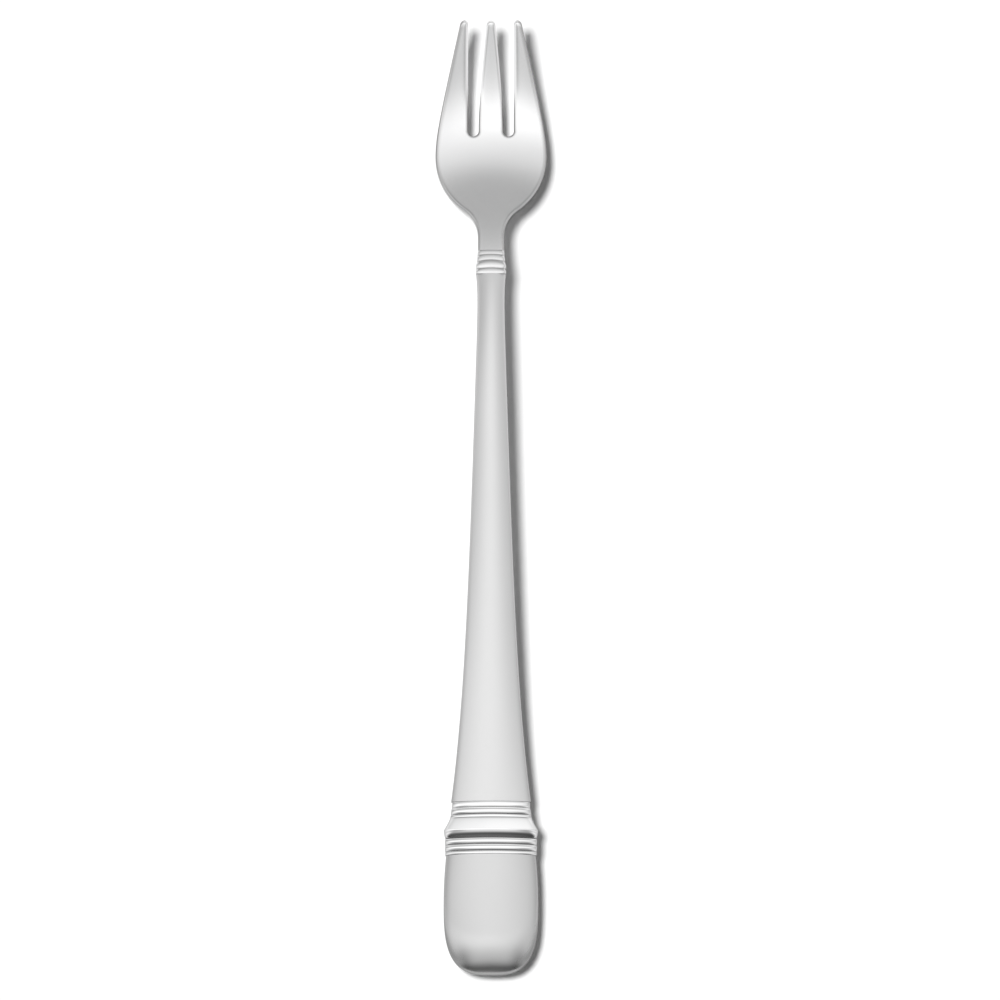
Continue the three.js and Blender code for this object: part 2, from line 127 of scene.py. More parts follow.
# The share of its height that a moulding has at its sides, on its crown and on its back, and up to which
# share of its height it belongs to the groove beside it
COLLAR_RELIEF = np.array([0.4, 1, 0.4])
RING_RELIEF = np.array([1, 0.42, 1])
GROOVE_SHARE = 0.5

# The head seen from above
HEAD_WIDTH = 17.9 * MM
NECK_WIDTH = 4.22 * MM
NECK_STRAIGHT = 2.3 * MM
NECK_FILLET_RADIUS = 5.6 * MM
SHOULDER_RADIUS = 10.9 * MM
TAPER_EASE = 1.1 * MM
TINE_LENGTH = 18.4 * MM
TIPS_SPREAD = 9.65 * MM
TIP_WIDTH = 1.14 * MM
MIDDLE_TINE_WIDTH = 3.95 * MM
MIDDLE_TIP_WIDTH = 1.42 * MM
MIDDLE_TINE_EVEN = 5 * MM
SLOT_WIDTH = 1.71 * MM

# The head seen from the side, and its dish across
HEEL_DISTANCE = 20.1 * MM
NECK_THICKNESS = 2.8 * MM
BOWL_THICKNESS = 2.2 * MM
TIP_THICKNESS = 1.1 * MM
DISH_START = 6.5 * MM
DISH_DISTANCE = 15.2 * MM
DISH_START_DEPTH = 0.12 * MM
BOWL_DISH = 0.8 * MM
TIP_DISH = 0.25 * MM

# The head's rounded edges, the bevels along its slots, its drooping tips, and the share of half the
# thickness that all these may take
NECK_EDGE_RADIUS = 0.5 * MM
BOWL_EDGE_RADIUS = 0.3 * MM
BACK_EDGE_RADIUS = 0.4 * MM
SLOT_EDGE_RADIUS = 0.25 * MM
BEVEL_WIDTH = 0.35 * MM
BEVEL_SLOPE = 0.7
BEVEL_SOFTNESS = 0.3 * MM
BEVEL_START = 2 * MM
BEVEL_FULL = 7 * MM
TIP_EDGE_RADIUS = 0.45 * MM
TIP_ROUND_LENGTH = 1.2 * MM
TIP_DROOP_LENGTH = 1.2 * MM
TIP_DROOP_RADIUS = 3 * MM
EDGE_RADIUS_LIMIT = 0.9

# How far the painted shade on the head's rims reaches in from its outline and from its slots
NECK_RIM = 0.45 * MM
BOWL_RIM = 0.75 * MM
SLOT_RIM = 0.55 * MM

# Distances from the head's base
SHOULDER_TURN = math.acos(1 - (HEAD_WIDTH - NECK_WIDTH) / 2 / (NECK_FILLET_RADIUS + SHOULDER_RADIUS))
FILLET_END = NECK_STRAIGHT + NECK_FILLET_RADIUS * math.sin(SHOULDER_TURN)
WIDEST = FILLET_END + SHOULDER_RADIUS * math.sin(SHOULDER_TURN)
ROOT = HEAD_LENGTH - TINE_LENGTH + SLOT_WIDTH / 2

# Distances of the slots from the fork's axis
SLOT_INNER = MIDDLE_TINE_WIDTH / 2
SLOT_OUTER = SLOT_INNER + SLOT_WIDTH
SLOT_MIDDLE = SLOT_INNER + SLOT_WIDTH / 2

# Heights of the seam, which runs through the middle of every section, and where they are reached
CAP_SEAM = 2.1 * MM
CAP_LEVEL_LENGTH = 13.9 * MM
BUTT_SEAM = 2.6 * MM
RISE_SEAM = 4.3 * MM
RISE_DISTANCE = 30 * MM
CREST_SEAM = 5.15 * MM
CREST_DISTANCE = 61.5 * MM
NECK_SEAM = 4.2 * MM
SHOULDER_SEAM = 2.8 * MM
SHOULDER_DISTANCE = 7 * MM
BOWL_SEAM = 1.35 * MM
BOWL_DISTANCE = 14 * MM
TIP_SEAM = 4.9 * MM
REST_FLAT = 0.1 * MM

# The tang and the spigot inside the handle
TANG_LENGTH = 46 * MM
TANG_SIZES = np.array([1.1, 0.5, 0.5]) * MM
SPIGOT_DEPTH = 8 * MM
SPIGOT_SIZES = np.array([4.2, 0.85, 0.85]) * MM
FIT_CLEARANCE = 0.1 * MM

# Every oval section is an arch between two upright edges: the share of its height that the edges have, and
# more in the neck ring, how square they are, and up to which share of the height the painted rim shade
# reaches
EDGE_SHARE = 0.4
RING_EDGE_SHARE = 0.9
EDGE_POWER = 8
RIM_SHARE = 0.6

# How finely the meshes are divided. Points lie closer together at the edges of an oval, by the focus, and
# towards the round end of the cap, by the power
OVAL_SIDES = 112
EDGE_FOCUS = 0.75
CORE_SIDES = 32
CORE_STEPS = 24
BEAD_STEPS = 14
HANDLE_STEPS = 120
MOUTH_LENGTH = 6 * MM
MOUTH_STEPS = 24
CAP_ROUND_STEPS = 72
CAP_ROUND_STEP_POWER = 3
CAP_STRAIGHT_STEPS = 24
TINE_COLUMNS = 26
GAP_COLUMNS = 12
BOWL_STEPS = 60
ROOT_STEPS = 26
ROOT_RUN = 3 * MM
TINE_STEPS = 90
TIP_STEPS = 16
SHARP_ANGLE = math.radians(50)

# How fine the noise in the materials is: octaves on top of the first
CLOUD_DETAIL = 3
GRAIN_DETAIL = 5
CEMENT_DETAIL = 6

# The camera: the picture's side in pixels, the size of a pixel at the fork, and the lens and sensor in
# millimetres
IMAGE_SIDE = 1000
PIXEL = 0.1608 * MM
CAMERA_TILT = math.radians(9)
LENS = 1000
SENSOR = 36
LOOK_AT = Vector((1.45, -0.43, 3)) * MM

# The key light, and the white floor a little below the fork, as under a thin clear sheet on which it lies
KEY_FROM = Vector((-0.275, 0.07, 1))
KEY_STRENGTH = 3.48
KEY_SPREAD = math.radians(17)
GROUND_DEPTH = 1.2 * MM
FLOOR_SIDE = 4
FLOOR_COLOUR = 0.88
FLOOR_GLOW = 0.06
WORLD_ON_FLOOR = 0.07


def between(a, b, share):
    return a + (b - a) * share


def smooth_step(share):
    share = np.clip(share, 0, 1)
    return share * share * (3 - 2 * share)


def cosine_spaced(steps):
    """Shares from 0 to 1 that lie closer together near both ends."""
    return (1 - np.cos(np.linspace(0, math.pi, steps + 1))) / 2


def curve_through(points):
    """A smooth curve through (place, value) points as a function of the place: a natural cubic spline."""
    place, value = np.array(points, float).T
    span = np.diff(place)
    slope = np.diff(value) / span
    last = len(place) - 1
    balance = np.eye(last + 1)
    turn = np.zeros(last + 1)
    for i in range(1, last):
        balance[i, i - 1 : i + 2] = span[i - 1], 2 * (span[i - 1] + span[i]), span[i]
        turn[i] = 6 * (slope[i] - slope[i - 1])
    bend = np.linalg.solve(balance, turn)

    def curve(at):
        i = np.clip(np.searchsorted(place, at) - 1, 0, last - 1)
        ahead = (at - place[i]) / span[i]
        back = 1 - ahead
        bow = (back**3 - back) * bend[i] + (ahead**3 - ahead) * bend[i + 1]
        return back * value[i] + ahead * value[i + 1] + bow * span[i] ** 2 / 6

    return curve


seam = curve_through([
    (END, CAP_SEAM),
    (END + CAP_LEVEL_LENGTH, CAP_SEAM),
    (HANDLE_START, BUTT_SEAM),
    (HANDLE_START + RISE_DISTANCE, RISE_SEAM),
    (HANDLE_START + CREST_DISTANCE, CREST_SEAM),
    (HEAD_BASE, NECK_SEAM),
    (HEAD_BASE + SHOULDER_DISTANCE, SHOULDER_SEAM),
    (HEAD_BASE + BOWL_DISTANCE, BOWL_SEAM),
    (HEAD_BASE + HEEL_DISTANCE, BOWL_THICKNESS / 2 - REST_FLAT),
    (TIPS, TIP_SEAM),
])
head_thickness = curve_through([
    (0, NECK_THICKNESS),
    (HEEL_DISTANCE, BOWL_THICKNESS),
    (HEAD_LENGTH, TIP_THICKNESS),
])
head_dish = curve_through([
    (0, 0),
    (DISH_START, DISH_START_DEPTH),
    (DISH_DISTANCE, BOWL_DISH),
    (HEAD_LENGTH, TIP_DISH),
])


def closer_at_edges(turn):
    """Angles round a section, moved towards its left and right edges, where it bends most."""
    return turn - EDGE_FOCUS * np.sin(2 * turn) / 2


def full_turn(sides):
    return closer_at_edges(np.linspace(0, 2 * math.pi, sides, endpoint=False))


def upright_edge(across):
    """Nearly 1 over a width from -1 to 1, with a short upright drop to 0 at its edges."""
    return (1 - np.abs(across) ** EDGE_POWER) ** (1 / EDGE_POWER)


def oval_rise(across, edge_share=EDGE_SHARE):
    """The share of its height that an oval section has over its width from -1 to 1."""
    return between(1 - across**2, upright_edge(across), edge_share)


def oval_section(y, sizes, angles, raised=(0, 0), edge_share=EDGE_SHARE):
    """Points across the fork: an oval whose crown and back have their own heights, and may be raised."""
    half_width, crown, back = sizes
    across = np.cos(angles)
    front = np.sin(angles) > 0
    height = np.where(front, crown, -back) * oval_rise(across, edge_share)
    moulding = np.where(front, raised[0], -raised[1]) * upright_edge(across)
    z = np.maximum(seam(y) + height + moulding, 0)
    return np.column_stack([half_width * across, np.full(len(angles), y), z])


def on_rim(rise):
    """Painted rim shade: 1 at the edges of a section, fading to 0 towards its crown and back, by the share
    of its height.
    """
    return 1 - smooth_step(rise / RIM_SHARE)


def loft(sections, joined=False):
    """Faces through closed sections of equal length: capped at both ends, or joined from last to first."""
    count = len(sections[0])
    rows = len(sections)
    faces = []
    for row in range(rows if joined else rows - 1):
        here = row * count
        above = (row + 1) % rows * count
        for i in range(count):
            j = (i + 1) % count
            faces.append((here + i, above + i, above + j, here + j))
    if not joined:
        faces.append(tuple(range(count)))
        faces.append(tuple(reversed(range((rows - 1) * count, rows * count))))
    return np.concatenate(sections), faces


def together(first, second):
    """Two shapes as one."""
    moved = [tuple(i + len(first[0]) for i in face) for face in second[1]]
    return np.concatenate([first[0], second[0]]), first[1] + moved


def oval_core(start, end, sizes):
    """A slim oval bar along the seam."""
    angles = full_turn(CORE_SIDES)
    return loft([oval_section(y, sizes, angles) for y in np.linspace(start, end, CORE_STEPS)])


def add_piece(name, shape, edge, material, slot, node):
    """A piece that stands for a CAD node. Its edge attribute is 1 on edges and in grooves, where shade is
    painted.
    """
    vertices, faces = shape
    mesh = bpy.data.meshes.new(name)
    mesh.from_pydata(vertices.tolist(), [], faces)
    mesh.attributes.new("edge", "FLOAT", "POINT").data.foreach_set("value", np.asarray(edge, np.float32))
    mesh.shade_smooth()
    mesh.set_sharp_from_angle(angle=SHARP_ANGLE)
    mesh.materials.append(material)
    piece = bpy.data.objects.new(name, mesh)
    bpy.context.scene.collection.objects.link(piece)
    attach(piece, "root")
    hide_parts(node)


def arc_rise(radius, run):
    """How far an arc has left its tangent after a run along it."""
    return radius - np.sqrt(np.maximum(radius**2 - run**2, 0))


def taper_half_width(distance):
    """The outer edge of the outer tines: soft at the widest place, then leaning in evenly to the tips."""
    drop = (HEAD_WIDTH - TIPS_SPREAD) / 2 + TAPER_EASE
    lean = math.sqrt(drop**2 - TAPER_EASE**2) / (HEAD_LENGTH - WIDEST)
    return HEAD_WIDTH / 2 + TAPER_EASE - np.hypot(lean * (distance - WIDEST), TAPER_EASE)


def head_half_width(distance):
    """Half the head's width at a distance from its base, before the tips are rounded."""
    neck = np.full_like(distance, NECK_WIDTH / 2)
    fillet = neck + arc_rise(NECK_FILLET_RADIUS, distance - NECK_STRAIGHT)
    shoulder = HEAD_WIDTH / 2 - arc_rise(SHOULDER_RADIUS, WIDEST - distance)
    below = [distance < NECK_STRAIGHT, distance < FILLET_END, distance < WIDEST]
    return np.select(below, [neck, fillet, shoulder], taper_half_width(distance))


def middle_half_width(distance):
    """Half the middle tine's width: a quadratic curve from the slot's root to the tip."""
    tip = HEAD_LENGTH - MIDDLE_TIP_WIDTH / 2
    even = ROOT + MIDDLE_TINE_EVEN
    square = tip - 2 * even + ROOT
    half = even - tip
    under = np.maximum(half**2 - square * (tip - distance), 0)
    share = np.clip((-half - np.sqrt(under)) / square, 0, 1)
    return between(SLOT_INNER, MIDDLE_TIP_WIDTH / 2, (1 - share) ** 2)


def outer_inner_edge(distance):
    """The inner edge of the outer tines: straight from the slot's root to the tip."""
    share = np.clip((distance - ROOT) / (HEAD_LENGTH - TIP_WIDTH / 2 - ROOT), 0, 1)
    return between(SLOT_OUTER, TIPS_SPREAD / 2 - TIP_WIDTH, share)


def rounded_tip(left, right, distance, width):
    """The edges of a tine, drawn together to a round end of that width."""
    turn = np.clip((distance - HEAD_LENGTH) / (width / 2) + 1, 0, 1)
    open_share = np.sqrt(1 - turn**2)
    middle = (left + right) / 2
    return between(middle, left, open_share), between(middle, right, open_share)


def tine_edges(distance):
    """The left and right edges of the three tines, from left to right."""
    middle = middle_half_width(distance)
    inner = outer_inner_edge(distance)
    outer = head_half_width(distance)
    return [
        rounded_tip(-outer, -inner, distance, TIP_WIDTH),
        rounded_tip(-middle, middle, distance, MIDDLE_TIP_WIDTH),
        rounded_tip(inner, outer, distance, TIP_WIDTH),
    ]


def columns_at_root():
    """Places across the head at the slots' roots, closer together near the edges of each tine and slot."""
    tine = cosine_spaced(TINE_COLUMNS)
    gap = cosine_spaced(GAP_COLUMNS)
    root_width = head_half_width(np.array(ROOT))
    bounds = [-root_width, -SLOT_OUTER, -SLOT_INNER, SLOT_INNER, SLOT_OUTER, root_width]
    strands = [tine, gap, tine, gap, tine]
    across = [between(bounds[i], bounds[i + 1], strand)[:-1] for i, strand in enumerate(strands)]
    return np.append(np.concatenate(across), root_width)


def bowl_rows(at_root):
    """Rows of points from the head's base up to the slots, bending to their round roots: x and distance."""
    in_slot = np.maximum((SLOT_WIDTH / 2) ** 2 - (np.abs(at_root) - SLOT_MIDDLE) ** 2, 0)
    last_row = ROOT - np.sqrt(in_slot)
    first_row = ROOT - ROOT_RUN
    below = np.linspace(0, first_row, BOWL_STEPS, endpoint=False)[:, None] + np.zeros_like(at_root)
    run = 1 - (1 - np.linspace(0, 1, ROOT_STEPS + 1)) ** 2
    to_root = between(first_row, last_row, run[:, None])
    distance = np.concatenate([below, to_root])
    return at_root / at_root[-1] * head_half_width(distance), distance


def tine_rows(columns):
    """Rows of points along the tines: x, distance and whether a point is there."""
    tip_start = HEAD_LENGTH - MIDDLE_TIP_WIDTH / 2
    along = np.linspace(ROOT, tip_start, TINE_STEPS)[1:]
    tip = between(tip_start, HEAD_LENGTH, np.sin(np.linspace(0, math.pi / 2, TIP_STEPS))[1:])
    distance = np.concatenate([along, tip])[:, None] + np.zeros(columns)
    x = np.zeros_like(distance)
    there = np.zeros(distance.shape, bool)
    for number, (left, right) in enumerate(tine_edges(distance[:, :1])):
        first = number * (TINE_COLUMNS + GAP_COLUMNS)
        tine = slice(first, first + TINE_COLUMNS + 1)
        x[:, tine] = between(left, right, cosine_spaced(TINE_COLUMNS))
        there[:, tine] = True
    return x, distance, there


def head_grid():
    """The head from above as rows of points: across the whole head up to the slots, then on the tines.

    Returns x, distance and whether a point is there."""
    at_root = columns_at_root()
    bowl_x, bowl_distance = bowl_rows(at_root)
    tines_x, tines_distance, on_tine = tine_rows(len(at_root))
    there = np.concatenate([np.ones(bowl_x.shape, bool), on_tine])
    return np.concatenate([bowl_x, tines_x]), np.concatenate([bowl_distance, tines_distance]), there


def head_faces(there):
    """Quads between neighbouring points of the grid, facing up."""
    number = np.full(there.shape, -1)
    number[there] = np.arange(there.sum())
    corners = [number[:-1, :-1], number[:-1, 1:], number[1:, 1:], number[1:, :-1]]
    quads = np.stack(corners, -1).reshape(-1, len(corners))
    return [tuple(quad) for quad in quads[(quads >= 0).all(1)].tolist()]


def edge_distances(x, distance):
    """Roughly how far points of the head lie from its outer edges and from the edges of its slots."""
    across = np.abs(x)
    middle_tine, right_tine = tine_edges(distance)[1:]
    places = np.linspace(0, HEAD_LENGTH, BOWL_STEPS)
    lean = np.interp(distance, places, np.gradient(head_half_width(places), places))
    outer = (right_tine[1] - across) / np.hypot(1, lean)
    from_root = np.hypot(across - SLOT_MIDDLE, distance - ROOT) - SLOT_WIDTH / 2
    beside = np.where(across < SLOT_MIDDLE, middle_tine[1] - across, across - right_tine[0])
    slot = np.where(distance < ROOT, from_root, beside)
    return np.maximum(outer, 0), np.maximum(slot, 0)


def tine_depth(x, distance):
    """How far points on the tines lie from their tine's outline, whose tip is round."""
    across = np.abs(x)
    middle = middle_half_width(distance)
    inner = outer_inner_edge(distance)
    outer = head_half_width(distance)
    in_middle = across < (middle + inner) / 2
    half = np.where(in_middle, middle, (outer - inner) / 2)
    off_centre = across - np.where(in_middle, 0, (outer + inner) / 2)
    tip_radius = np.where(in_middle, MIDDLE_TIP_WIDTH, TIP_WIDTH) / 2
    past_centre = np.maximum(distance - HEAD_LENGTH + tip_radius, 0)
    return np.maximum(half - np.hypot(off_centre, past_centre), 0)


def edge_drop(from_edge, radius):
    """How far a rounded edge has dropped at a distance from the edge."""
    return arc_rise(radius, radius - np.minimum(from_edge, radius))


def bevel_drop(from_edge, width):
    """How far a bevel with a soft start has dropped at a distance from the edge."""
    inside = width - from_edge
    return BEVEL_SLOPE * (inside + np.hypot(inside, BEVEL_SOFTNESS)) / 2


def past_neck(distance):
    """0 at the head's base, rising evenly to 1 where the fillet of the neck ends."""
    return np.minimum(distance / FILLET_END, 1)


def bevel_share(distance):
    """How much of the bevel the slots' edges have: none near the roots, all of it further on."""
    return smooth_step((distance - ROOT - BEVEL_START) / (BEVEL_FULL - BEVEL_START))


def top_drop(x, distance, half, outer, slot):
    """How far the head's top drops at its outline, along its slots and at its round, drooping tips."""
    limit = EDGE_RADIUS_LIMIT * half
    radius = np.minimum(between(NECK_EDGE_RADIUS, BOWL_EDGE_RADIUS, past_neck(distance)), limit)
    rounded = edge_drop(slot, SLOT_EDGE_RADIUS)
    slot_drop = between(rounded, bevel_drop(slot, BEVEL_WIDTH), bevel_share(distance))
    tip_drop = edge_drop(tine_depth(x, distance), TIP_EDGE_RADIUS)
    at_tip = smooth_step((distance - HEAD_LENGTH) / TIP_ROUND_LENGTH + 1)
    drop = between(np.hypot(edge_drop(outer, radius), slot_drop), tip_drop, at_tip)
    droop = arc_rise(TIP_DROOP_RADIUS, np.maximum(distance - HEAD_LENGTH + TIP_DROOP_LENGTH, 0))
    return np.minimum(drop + droop, limit)


def head_rim(distance, outer, slot):
    """Painted shade: 1 on the head's outline and on the slots' edges without a bevel, fading to 0 inwards.
    """
    near_outline = 1 - smooth_step(outer / between(NECK_RIM, BOWL_RIM, past_neck(distance)))
    near_slot = (1 - smooth_step(slot / SLOT_RIM)) * (1 - bevel_share(distance))
    return np.maximum(near_outline, near_slot)


def closed_plate(top, bottom, faces):
    """A closed shape between two sheets with the same faces, with walls along their free edges."""
    count = len(top)
    walked = set()
    for face in faces:
        walked.update(zip(face, face[1:] + face[:1]))
    walls = [(b, a, a + count, b + count) for a, b in walked if (b, a) not in walked]
    under = [tuple(i + count for i in reversed(face)) for face in faces]
    return np.concatenate([top, bottom]), faces + under + sorted(walls)


def fork_head():
    """The forged head: a dished plate with rounded edges and three tines, and the tang."""
    grid_x, grid_distance, there = head_grid()
    x = grid_x[there]
    distance = grid_distance[there]
    y = HEAD_BASE + distance
    outer, slot = edge_distances(x, distance)
    half = head_thickness(distance) / 2
    back_radius = np.minimum(BACK_EDGE_RADIUS, EDGE_RADIUS_LIMIT * half)
    back_drop = edge_drop(np.minimum(outer, slot), back_radius)
    middle = seam(y) + head_dish(distance) * (x / head_half_width(distance)) ** 2
    top = np.column_stack([x, y, middle + half - top_drop(x, distance, half, outer, slot)])
    bottom = np.column_stack([x, y, np.maximum(middle - half + back_drop, 0)])
    plate = closed_plate(top, bottom, head_faces(there))
    tang = oval_core(HEAD_BASE - TANG_LENGTH, HEAD_BASE, TANG_SIZES)
    # Painted shade on the head's rims
    edge = head_rim(distance, outer, slot)
    return together(plate, tang), np.concatenate([edge, edge, np.zeros(len(tang[0]))])


def bead(share):
    """The share of its height that a bead has at a share of its length: half an oval."""
    return np.sqrt(1 - (2 * share - 1) ** 2)


def swell(share):
    """A bead that is soft at its ends."""
    return np.sin(math.pi * share)


def nose(share):
    """A quarter round, up from the bead beside it."""
    return 1 - (1 - share) ** 2


def cove(share):
    """A hollow that falls away from the top of the nose."""
    return (1 - share) ** COVE_POWER


# Length, height and shape of each moulding, and how dull the grooves at its ends are and how much shade is
# painted in them
COLLAR_MOULDINGS = [
    (LIP_LENGTH, LIP_HEIGHT, bead, 0.9),
    (CAP_BEAD_LENGTH, CAP_BEAD_HEIGHT, bead, 1),
    (CAP_BEAD_LENGTH, CAP_BEAD_HEIGHT, bead, 1),
    (NOSE_LENGTH, NOSE_HEIGHT, nose, 0.9),
    (COVE_LENGTH, NOSE_HEIGHT, cove, 0),
    (STEP_LENGTH, STEP_HEIGHT, bead, 0),
    (HANDLE_BEAD_LENGTH, HANDLE_BEAD_HEIGHT, bead, 0.8),
    (EDGE_BEAD_LENGTH, EDGE_BEAD_HEIGHT, bead, 0.4),
]
RING_MOULDINGS = [
    (MOUTH_BEAD_LENGTH, MOUTH_BEAD_HEIGHT, swell, 0.7),
    (MAIN_BEAD_LENGTH, MAIN_BEAD_HEIGHT, swell, 0.7),
    (NECK_BEAD_LENGTH, NECK_BEAD_HEIGHT, swell, 0.7),
    (NECK_LIP_LENGTH, NECK_LIP_HEIGHT, swell, 0.7),
]


def moulding_stations(mouldings, start):
    """Places along a ring, with how far its mouldings stand above its base there, and how dull they are and
    how much shade is painted there.
    """
    stations = []
    for length, height, shape, dull_and_shade in mouldings:
        for share in cosine_spaced(BEAD_STEPS)[:-1]:
            risen = shape(share)
            in_groove = 1 - smooth_step(risen / GROOVE_SHARE)
            stations.append((start + length * share, height * risen, dull_and_shade * in_groove))
        start += length
    return stations + [(start, 0, 0)]


def ring(mouldings, relief, edge_share, bow, start, base_sizes, hole_sizes):
    """A ring of mouldings on a base whose sizes follow its place, with an oval hole along the seam.

    Its mouldings bow along the fork, by one distance at its sides and another in its middle, and not at all
    at its ends."""
    angles = full_turn(OVAL_SIDES)
    length = sum(moulding[0] for moulding in mouldings)
    sections = []
    edge = []
    for y, rise, dull_and_shade in moulding_stations(mouldings, start):
        wider, *raised = relief * rise
        section = oval_section(y, base_sizes(y) + (wider, 0, 0), angles, raised, edge_share)
        section[:, 1] += between(*bow, np.sin(angles) ** 2) * swell((y - start) / length)
        sections.append(section)
        # Painted shade on the rims and in the grooves
        edge.append(np.maximum(on_rim(oval_rise(np.cos(angles), edge_share)), dull_and_shade))
    hole = hole_sizes + FIT_CLEARANCE
    inside = [oval_section(section[0, 1], hole, angles) for section in reversed(sections)]
    return loft(sections + inside, joined=True), np.concatenate(edge + [np.zeros(OVAL_SIDES)] * len(inside))


def neck_ring():
    """The beaded ring between the handle's mouth and the neck."""

    def base_sizes(y):
        return between(RING_HANDLE_SIZES, RING_NECK_SIZES, (y - HANDLE_END) / (HEAD_BASE - HANDLE_END))

    return ring(RING_MOULDINGS, RING_RELIEF, RING_EDGE_SHARE, RING_BOW, HANDLE_END, base_sizes, TANG_SIZES)


def collar_ring():
    """The collar between cap and handle: beads, a nose, a cove that narrows to the handle, and beads."""

    def base_sizes(y):
        along = max(0, (y - COVE_START) / (HANDLE_START - COVE_START))
        return between(COLLAR_CAP_SIZES, COLLAR_HANDLE_SIZES, 1 - (1 - along) ** COLLAR_TAPER_POWER)

    return ring(COLLAR_MOULDINGS, COLLAR_RELIEF, EDGE_SHARE, (0, 0), CAP_TOP, base_sizes, SPIGOT_SIZES)


def handle_sizes(y):
    """Half the handle's width, and its crown and back."""
    share = (y - HANDLE_START) / HANDLE_LENGTH
    butt = BUTT_FLARE * (1 - share) ** BUTT_FLARE_POWER
    mouth = MOUTH_FLARE * share**MOUTH_FLARE_POWER
    half_width = (WAIST_WIDTH + TAPER * (1 - share) + butt + mouth) / 2
    crown = between(BUTT_CROWN, MOUTH_CROWN, share)
    back = between(BUTT_BACK, MOUTH_BACK, share)
    return np.array([half_width, crown, back])


def handle_shell(start_angle):
    """Half of the hollow handle, from seam to seam, with its edges eased along the seams."""
    turn = closer_at_edges(np.linspace(0, math.pi, OVAL_SIDES // 2 + 1))
    from_seam = np.minimum(turn, math.pi - turn)
    groove = np.maximum(0, 1 - from_seam / SEAM_GROOVE_ANGLE) ** 2
    even = np.linspace(HANDLE_START, HANDLE_END - MOUTH_LENGTH, HANDLE_STEPS, endpoint=False)
    flared = np.linspace(HANDLE_END - MOUTH_LENGTH, HANDLE_END, MOUTH_STEPS)
    sections = []
    for y in np.concatenate([even, flared]):
        outside = oval_section(y, handle_sizes(y), turn + start_angle)
        outside[:, 0] -= np.sign(outside[:, 0]) * SEAM_GROOVE * groove
        inside = oval_section(y, handle_sizes(y) - SHELL_WALL, turn + start_angle)
        sections.append(np.concatenate([outside, inside[::-1]]))
    # Painted shade on the rims
    edge = np.concatenate([on_rim(oval_rise(np.cos(turn))), np.zeros_like(turn)])
    return loft(sections), np.tile(edge, len(sections))


def fullness(share, power):
    """How full a round of that power is at a share of its length."""
    return (1 - np.clip(1 - share, 0, 1) ** power) ** (1 / power)


def corner_shade(dome, across):
    """Painted shade: 1 low on the cap's corners, fading to 0 towards its crown and its middle."""
    low = (CORNER_SHADE_START_HEIGHT - dome) / (CORNER_SHADE_START_HEIGHT - CORNER_SHADE_FULL_HEIGHT)
    beside = (np.abs(across) - CORNER_SHADE_START_WIDTH) / (CORNER_SHADE_FULL_WIDTH - CORNER_SHADE_START_WIDTH)
    return smooth_step(low) * smooth_step(beside)


def cap_section(from_end):
    """Points across the cap, domed towards its round end, and how much painted shade each gets on a rim or
    low corner.
    """
    angles = full_turn(OVAL_SIDES)
    along = max(0, (from_end - CAP_ROUND_LENGTH) / (CAP_TOP - END - CAP_ROUND_LENGTH))
    half_width = between(CAP_WIDTH, CAP_MOUTH_WIDTH, along**CAP_TAPER_POWER) / 2
    across = np.cos(angles) * fullness(from_end / CAP_ROUND_LENGTH, CAP_ROUND_POWER)
    end_here = CAP_ROUND_LENGTH * (1 - fullness(1 - np.abs(across), CAP_ROUND_POWER))
    from_corner = from_end - CAP_CORNER_SHARE * end_here
    dome = fullness(from_corner / CAP_DOME_LENGTH, CAP_DOME_POWER) * upright_edge(np.cos(angles))
    rise = oval_rise(across) * dome
    height = np.where(np.sin(angles) > 0, CAP_CROWN, -CAP_BACK)
    y = END + from_end
    z = np.maximum(seam(y) + height * rise, 0)
    # Painted shade on the rim and on the low corners
    edge = np.maximum(on_rim(rise), corner_shade(dome, across))
    return np.column_stack([half_width * across, np.full(OVAL_SIDES, y), z]), edge


def end_cap():
    """The cap, flat underneath, with the spigot on its mouth."""
    rounded = CAP_ROUND_LENGTH * np.linspace(0, 1, CAP_ROUND_STEPS)[1:] ** CAP_ROUND_STEP_POWER
    straight = np.linspace(CAP_ROUND_LENGTH, CAP_TOP - END, CAP_STRAIGHT_STEPS)[1:]
    sections, edges = zip(*[cap_section(from_end) for from_end in np.concatenate([rounded, straight])])
    spigot = oval_core(CAP_TOP, HANDLE_START + SPIGOT_DEPTH, SPIGOT_SIZES)
    edge = np.concatenate([*edges, np.zeros(len(spigot[0]))])
    return together(loft(sections), spigot), edge


def grey(level, blue=0):
    """An opaque grey, which may be a little bluer."""
    return (level, level, level + blue, 1)


def start_material(name):
    """A node material with only its Principled shader and its output, and its node tree."""
    material = bpy.data.materials.new(name)
    material.use_nodes = True
    return material, material.node_tree


def feed(tree, value, socket):
    """Links a socket to another one, or sets it to a number or a colour."""
    if isinstance(value, bpy.types.NodeSocket):
        tree.links.new(value, socket)
    else:
        socket.default_value = value


def add_noise(tree, scale, detail):
    """Noise in the object's own coordinates, with its own scale along each axis, in cycles per metre."""
    place = tree.nodes.new("ShaderNodeTexCoord")
    stretch = tree.nodes.new("ShaderNodeMapping")
    stretch.inputs["Scale"].default_value = scale
    noise = tree.nodes.new("ShaderNodeTexNoise")
    noise.inputs["Scale"].default_value = 1
    noise.inputs["Detail"].default_value = detail
    tree.links.new(place.outputs["Object"], stretch.inputs["Vector"])
    tree.links.new(stretch.outputs["Vector"], noise.inputs["Vector"])
    return noise.outputs["Fac"]


def add_range(tree, source, low, high):
    """A value from 0 to 1 spread between two others, and held at them beyond."""
    spread = tree.nodes.new("ShaderNodeMapRange")
    spread.inputs["To Min"].default_value = low
    spread.inputs["To Max"].default_value = high
    tree.links.new(source, spread.inputs["Value"])
    return spread.outputs["Result"]


